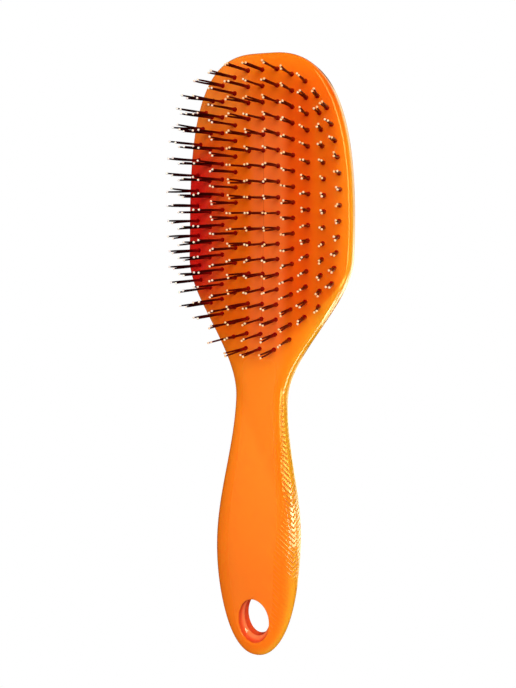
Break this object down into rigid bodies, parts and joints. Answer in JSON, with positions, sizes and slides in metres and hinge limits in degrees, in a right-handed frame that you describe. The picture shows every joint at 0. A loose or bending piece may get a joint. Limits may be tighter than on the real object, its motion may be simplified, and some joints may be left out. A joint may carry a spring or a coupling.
{
  "type": "detangling brush",
  "caption": "Hand-held hairbrush with a rounded paddle head, paired flexible strands with round tips, a shaped handle and an oval hang hole.",
  "frame": {"origin": "middle of the brush's bounding box, on the surface it lies on", "axes": "+Y along the brush towards the head end, +X across the head, +Z out of the bristle face; the brush lies on its back"},
  "size_m": [0.0689, 0.235, 0.0408],
  "materials": {
    "shell": "glossy, slightly translucent orange",
    "strand": "satin black nylon",
    "tip": "glossy cream"
  },
  "bodies": {
    "root": {"front_shell": "shell", "back_shell": "shell", "bristle_column_01": "strand", "bristle_column_02": "strand", "bristle_column_03": "strand", "bristle_column_04": "strand", "bristle_column_05": "strand", "bristle_column_06": "strand", "bristle_column_07": "strand", "bristle_column_08": "strand", "bristle_column_09": "strand", "bristle_column_10": "strand", "bristle_column_11": "strand", "bristle_tips_01": "tip", "bristle_tips_02": "tip", "bristle_tips_03": "tip", "bristle_tips_04": "tip", "bristle_tips_05": "tip", "bristle_tips_06": "tip", "bristle_tips_07": "tip", "bristle_tips_08": "tip", "bristle_tips_09": "tip", "bristle_tips_10": "tip", "bristle_tips_11": "tip"}
  },
  "joints": []
}
